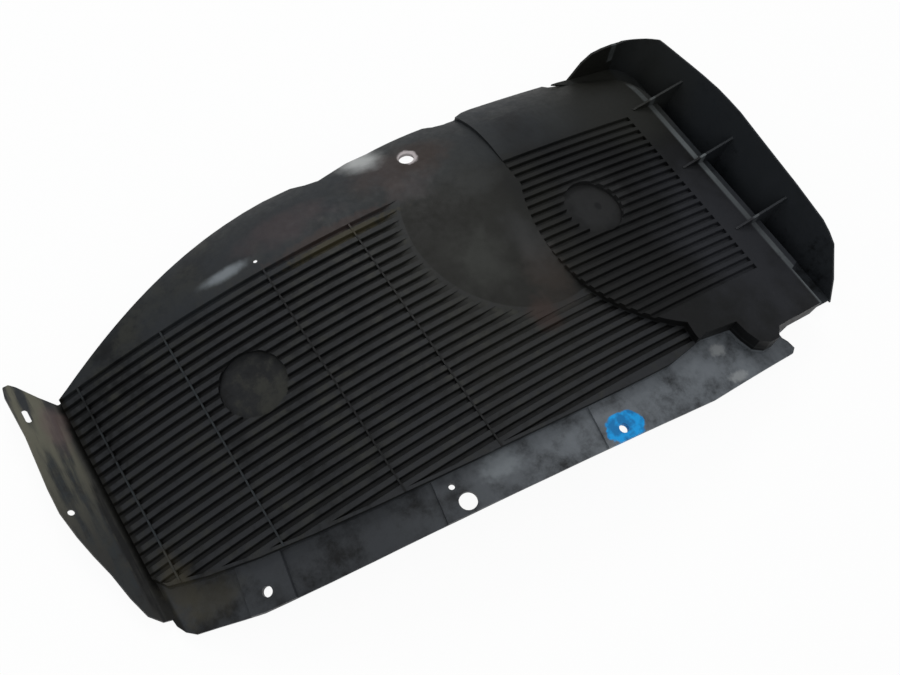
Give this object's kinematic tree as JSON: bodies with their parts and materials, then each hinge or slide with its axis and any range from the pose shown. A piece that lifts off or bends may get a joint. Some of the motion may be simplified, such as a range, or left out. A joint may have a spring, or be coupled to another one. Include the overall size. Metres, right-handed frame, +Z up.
{
  "type": "wheel arch liner",
  "caption": "Arched plastic wheel arch liner with a ribbed skin, a raised end pocket, an upright end wall and a fastening strip along one edge.",
  "frame": {"origin": "centre of the bounding box in plan, on the ground plane that the moulding stands on", "axes": "+X along the arch from the leaning flange to the end wall, +Y across it from the fastening strip to the rounded inner shoulder, +Z up through the crown"},
  "size_m": [0.7576, 0.3904, 0.0821],
  "materials": {
    "liner": "worn matte black polypropylene"
  },
  "bodies": {
    "root": {"liner": "liner"}
  },
  "joints": []
}
